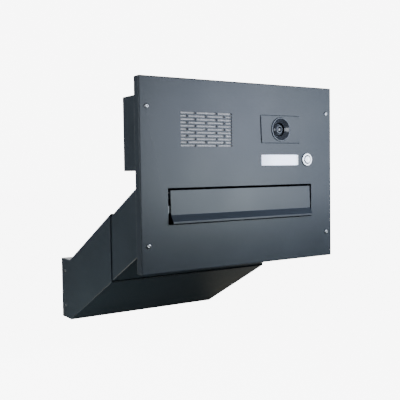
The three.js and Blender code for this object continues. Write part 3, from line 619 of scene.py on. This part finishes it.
def softbox(name, place, aim, size, radiance):
    """A soft light at a place, looking at aim. Its radiance is given as red, green and blue."""
    towards = (Vector(place) - Vector(aim)).normalized()
    strongest = max(radiance)
    data = bpy.data.lights.new(name, "AREA")
    data.shape = "RECTANGLE"
    data.size, data.size_y = size
    data.energy = strongest * math.pi * size[0] * size[1]
    data.color = [part / strongest for part in radiance]
    light = bpy.data.objects.new(name, data)
    light.matrix_world = Matrix.Translation(place) @ towards.to_track_quat("Z", "Y").to_matrix().to_4x4()
    light.visible_camera = False
    bpy.context.scene.collection.objects.link(light)


# These stand in front of the plate, where it mirrors them towards the camera.
softbox("key_left", (0.15, -0.398, 0.208), (-0.02, 0.002, 0.176), (0.3, 0.36), (1.9, 2.1, 3.0))
softbox("key_right", (0.43, -0.398, 0.208), (0.14, 0.002, 0.176), (0.3, 0.36), (2.15, 2.4, 3.15))
softbox("key_lower", (0.18, -0.398, 0.086), (-0.06, 0.002, 0.086), (0.3, 0.12), (1.25, 1.5, 0.95))
softbox("key_far", (1.3, -1.918, 0.376), (0.03, -0.018, 0.191), (1.1, 0.9), (3.2, 3.55, 3.3))

# This one stands beside the viewer and lights the ring round the lens.
softbox("camera_left", (-0.8, -0.82, 0.28), (0.081, -0.018, 0.214), (0.22, 0.7), (4.5, 4.7, 5.0))

# These light the left side of the box and of the chutes.
softbox("left", (-1.4, 0.582, 0.476), (-0.178, 0.042, 0.176), (0.8, 0.8), (3.2, 3.6, 4.0))
softbox("side_left", (-0.7, 0.482, -0.524), (-0.178, 0.332, -0.104), (0.6, 0.6), (1.8, 1.4, 0.95))
softbox("low_left", (-0.42, 0.182, -0.354), (-0.15, 0.232, -0.054), (0.3, 0.3), (2.1, 2.8, 3.0))

# These light the chutes' underside.
softbox("low_right", (0.62, 0.2, -0.524), (0.06, 0.15, -0.024), (0.5, 0.5), (0.7, 0.74, 0.7))
softbox("under_glow", (0.67, 0.76, -0.524), (0.16, 0.3, -0.1), (0.24, 0.2), (0.26, 0.24, 0.19))

# These mostly light the sides that only other views show.
softbox("back", (0.3, 2.28, 0.18), (0, 0.41, -0.1), (1.2, 1.2), (1.6, 1.65, 1.7))
softbox("top_back", (0, 1.1, 1.9), (0, 0.18, 0.08), (1.4, 1.4), (1.8, 1.85, 1.9))
softbox("right", (1.6, -0.3, 0.23), (0, 0, 0.13), (0.9, 0.9), (0.3, 0.3, 0.3))


# ---------------------------------------------------------------- front plate

SHEET_BEND = 1.2 * MM
PANEL_BEND = 4 * MM
FLAP_BEND = 1 * MM
CHUTE_BEND = 2.2 * MM
soft_sheet("front_panel", on_outside("front_panel"), PANEL_BEND, pierced=True)
soft_block("wall_frame", RIM, 1)

# A lens-head screw: a hexagon socket, a domed head and a shank.
SCREW_SEGMENTS = 48
SCREW_RINGS = [
    (0, 1.5), (hexagon(1.45), 1.5), (hexagon(1.5), 0.15), (1.9, 0), (2.6, 0.12), (3.2, 0.4), (3.65, 0.8),
    (3.92, 1.3), (4, 1.7), (3.9, 1.8), (1.9, 1.8), (1.9, 14), (0, 14),
]
LEVELS = ("lower", "upper")
SIDES = ("left", "right")
CORNERS = [f"{level}_{side}" for level in LEVELS for side in SIDES]
for corner in CORNERS:
    turned_piece(f"panel_screw_{corner}", SCREW_RINGS, segments=SCREW_SEGMENTS)


# ---------------------------------------------------------------- letter flap

LEAST_CREASE = 20  # degrees


def flap_crease(edge):
    """The flap's crease folds less than its sharp edges do."""
    return LEAST_CREASE < fold_angle(edge) < SHARP_ANGLE


soft_sheet("letter_flap", flap_crease, FLAP_BEND)
ROD_LOW, ROD_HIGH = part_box("flap_hinge_rod")
ROD_LENGTH = (ROD_HIGH - ROD_LOW).x / MM
ROD_RADIUS = 1.5
ROD_CHAMFER = 0.3
ROD_SEGMENTS = 24
turned_piece("flap_hinge_rod", [
    (0, 0), (ROD_RADIUS - ROD_CHAMFER, 0), (ROD_RADIUS, ROD_CHAMFER),
    (ROD_RADIUS, ROD_LENGTH - ROD_CHAMFER), (ROD_RADIUS - ROD_CHAMFER, ROD_LENGTH), (0, ROD_LENGTH),
], facing="-x", segments=ROD_SEGMENTS)


# ---------------------------------------------------------------- camera

ACRYLIC_EDGE = 0.3 * MM
soft_front("camera_plate", front_radius=1.1 * MM, radius=ACRYLIC_EDGE)

# A funnel round the ball, a rounded flange and a barrel.
turned_piece("camera_bezel", [
    (12.6, 6.9), (14.9, 4.9), (17.0, 2.8), (18.6, 1.2), (19.4, 0.4), (20.2, 0), (20.9, 0.08), (21.5, 0.35),
    (21.9, 0.8), (22, 1.3), (22, 1.5), (19.9, 1.5), (19.9, 27.3), (18.3, 27.3), (18.3, 8.9), (13.4, 8.1),
], segments=FINE_SEGMENTS)


def ball_rings():
    """The ball with a flat round its lens seat. Depth 0 is that flat."""
    radius = 13.5
    flat = 12.0  # from the ball's middle
    seat = 5.2
    seat_depth = 4.0
    chamfer = 0.2
    steps = 28
    start = math.asin(-flat / radius)
    arc = [start - 2 * start * i / steps for i in range(steps + 1)]
    return [
        (0, seat_depth), (seat, seat_depth), (seat, chamfer), (seat + chamfer, 0),
        *((radius * math.cos(a), radius * math.sin(a) + flat) for a in arc), (0, 2 * flat),
    ]


turned_piece("camera_ball", ball_rings())
turned_piece("camera_lens", [
    (0, 0), (0.9, 0.03), (1.8, 0.13), (2.6, 0.3), (3.4, 0.55), (4.2, 0.9), (4.9, 1.4), (4.9, 4.1), (0, 4.1),
])


# ---------------------------------------------------------------- name plate and bell button

for node in ("nameplate_window", "nameplate_tab"):
    soft_block(node, ACRYLIC_EDGE)

# A domed flange and a barrel, with a wall across it that the cap's stem goes through.
turned_piece("button_collar", [
    (8.1, 0.6), (8.25, 0.2), (8.7, 0), (10.7, 0), (11.5, 0.15), (12.1, 0.55), (12.4, 1.1), (12.5, 1.9),
    (9.4, 1.9), (9.4, 22.2), (7, 22.2), (7, 11.2), (2.8, 11.2), (2.8, 9.2), (8.1, 9.2),
], segments=FINE_SEGMENTS)

# A dished face, a skirt, a stem, and a groove between them that takes the spring's end.
turned_piece("button_cap", [
    (0, 0.3), (2.5, 0.22), (4.6, 0.1), (5.8, 0.1), (6.6, 0.3), (7.3, 0.8), (7.8, 1.5), (7.8, 4.6),
    (6.2, 4.6), (6.2, 2.9), (3.4, 2.9), (3.4, 4.6), (2.5, 4.6), (2.5, 15.4), (0, 15.4),
], segments=FINE_SEGMENTS)


# ---------------------------------------------------------------- box behind the plate

soft_sheet("intercom_box", on_outside("intercom_box"), SHEET_BEND)

# Two lips, with a groove between them for the box's wall.
turned_piece("cable_grommet", [
    (5, 0.5), (5.5, 0), (9.5, 0.4), (11.5, 1.1), (12.3, 2.0), (12.5, 3), (10.2, 3), (10.2, 4.8), (12.5, 4.8),
    (12.3, 5.8), (11.5, 6.7), (9.5, 7.4), (5.5, 7.8), (5, 7.3),
])


# ---------------------------------------------------------------- chutes

def runs_along_slope(edge):
    """The long corners of a sloping rectangular tube."""
    along = edge.verts[0].co - edge.verts[1].co
    return sharp(edge) and along.length > 30 * MM and abs(along.y) > 0.5 * along.length


def nowhere(edge):
    """For a sheet without bends."""
    return False


for chute in ("inner_chute", "outer_chute"):
    soft_sheet(chute, runs_along_slope, CHUTE_BEND)
soft_sheet("rear_frame", nowhere, SHEET_BEND)


def place_along(node, outward):
    """As face_place, for a round piece whose face looks along any line."""
    corners = [vertex.co for vertex in NODES[node].data.vertices]
    height = max(corner.dot(outward) for corner in corners)
    face = [corner for corner in corners if corner.dot(outward) > height - 0.01 * MM]
    middle = sum(face, Vector()) / len(face)
    return Matrix.Translation(middle) @ (-outward).to_track_quat("Z", "Y").to_matrix().to_4x4()


CHUTE_FALL = math.radians(27.5)
CHUTE_UPWARD = Vector((0, math.sin(CHUTE_FALL), math.cos(CHUTE_FALL)))  # square to the chute's top

# A knob with lobes, on a screw with a chamfered tip.
KNOB_LOBES = 6
KNOB_RINGS = [
    (0, 0.7), (3.4, 0.7), (3.8, 0.2), (lobed(7.9, KNOB_LOBES, 0.9), 0), (lobed(8.6, KNOB_LOBES, 1.2), 0.4),
    (lobed(9, KNOB_LOBES, 1.3), 1.2), (lobed(9, KNOB_LOBES, 1.3), 4.9), (lobed(8.5, KNOB_LOBES, 1.1), 5.7),
    (lobed(8, KNOB_LOBES, 0.9), 6), (2.5, 6), (2.5, 13.4), (2.1, 13.8), (0, 13.8),
]
for side in SIDES:
    knob = f"clamp_screw_{side}"
    turned_piece(knob, KNOB_RINGS, segments=FINE_SEGMENTS, place=place_along(knob, CHUTE_UPWARD))

# A blind rivet: its mandrel's hole, a domed head and a shank.
RIVET_SEGMENTS = 40
RIVET_RINGS = [
    (0, 0.6), (0.95, 0.6), (1.05, 0.2), (1.3, 0), (1.9, 0.12), (2.6, 0.45), (3.1, 0.95), (3.35, 1.4),
    (3.4, 1.65), (3.3, 1.7), (2.1, 1.7), (2.1, 4.2), (0, 4.2),
]
for corner in CORNERS:
    turned_piece(f"rear_rivet_{corner}", RIVET_RINGS, "-x" if "left" in corner else "+x", RIVET_SEGMENTS)


# ---------------------------------------------------------------- rear door

soft_sheet("rear_door", on_outside("rear_door"), SHEET_BEND)

# A rounded flange and a barrel.
turned_piece("lock_body", [
    (6.3, 0.3), (6.5, 0), (10.3, 0), (11.1, 0.3), (11.5, 0.9), (11.5, 2.1), (9.5, 2.1), (9.5, 21.3),
    (6.3, 21.3),
], "+y")

# A keyway, a round face, a barrel and a stub for the cam.
KEYWAY = slot_outline(0.7, 3.5)
KEYWAY_MOUTH = slot_outline(0.85, 3.65)
turned_piece("lock_plug", [
    (0, 9), (KEYWAY, 9), (KEYWAY, 0.15), (KEYWAY_MOUTH, 0), (5.6, 0), (6, 0.4), (6, 20.9), (4, 20.9),
    (4, 23.5), (0, 23.5),
], "+y", FINE_SEGMENTS)


# ---------------------------------------------------------------- carried-over nodes

BEVEL_ANGLE = math.radians(40)
for node, item in NODES.items():
    if item.hide_render:
        continue
    item.data.materials.clear()
    item.data.materials.append(finish_of(node))
    dissolve = item.modifiers.new("flats", "DECIMATE")
    dissolve.decimate_type = "DISSOLVE"
    dissolve.angle_limit = FLAT_ANGLE
    bevel = item.modifiers.new("edges", "BEVEL")
    bevel.width = RIM
    bevel.segments = 2
    bevel.limit_method = "ANGLE"
    bevel.angle_limit = BEVEL_ANGLE
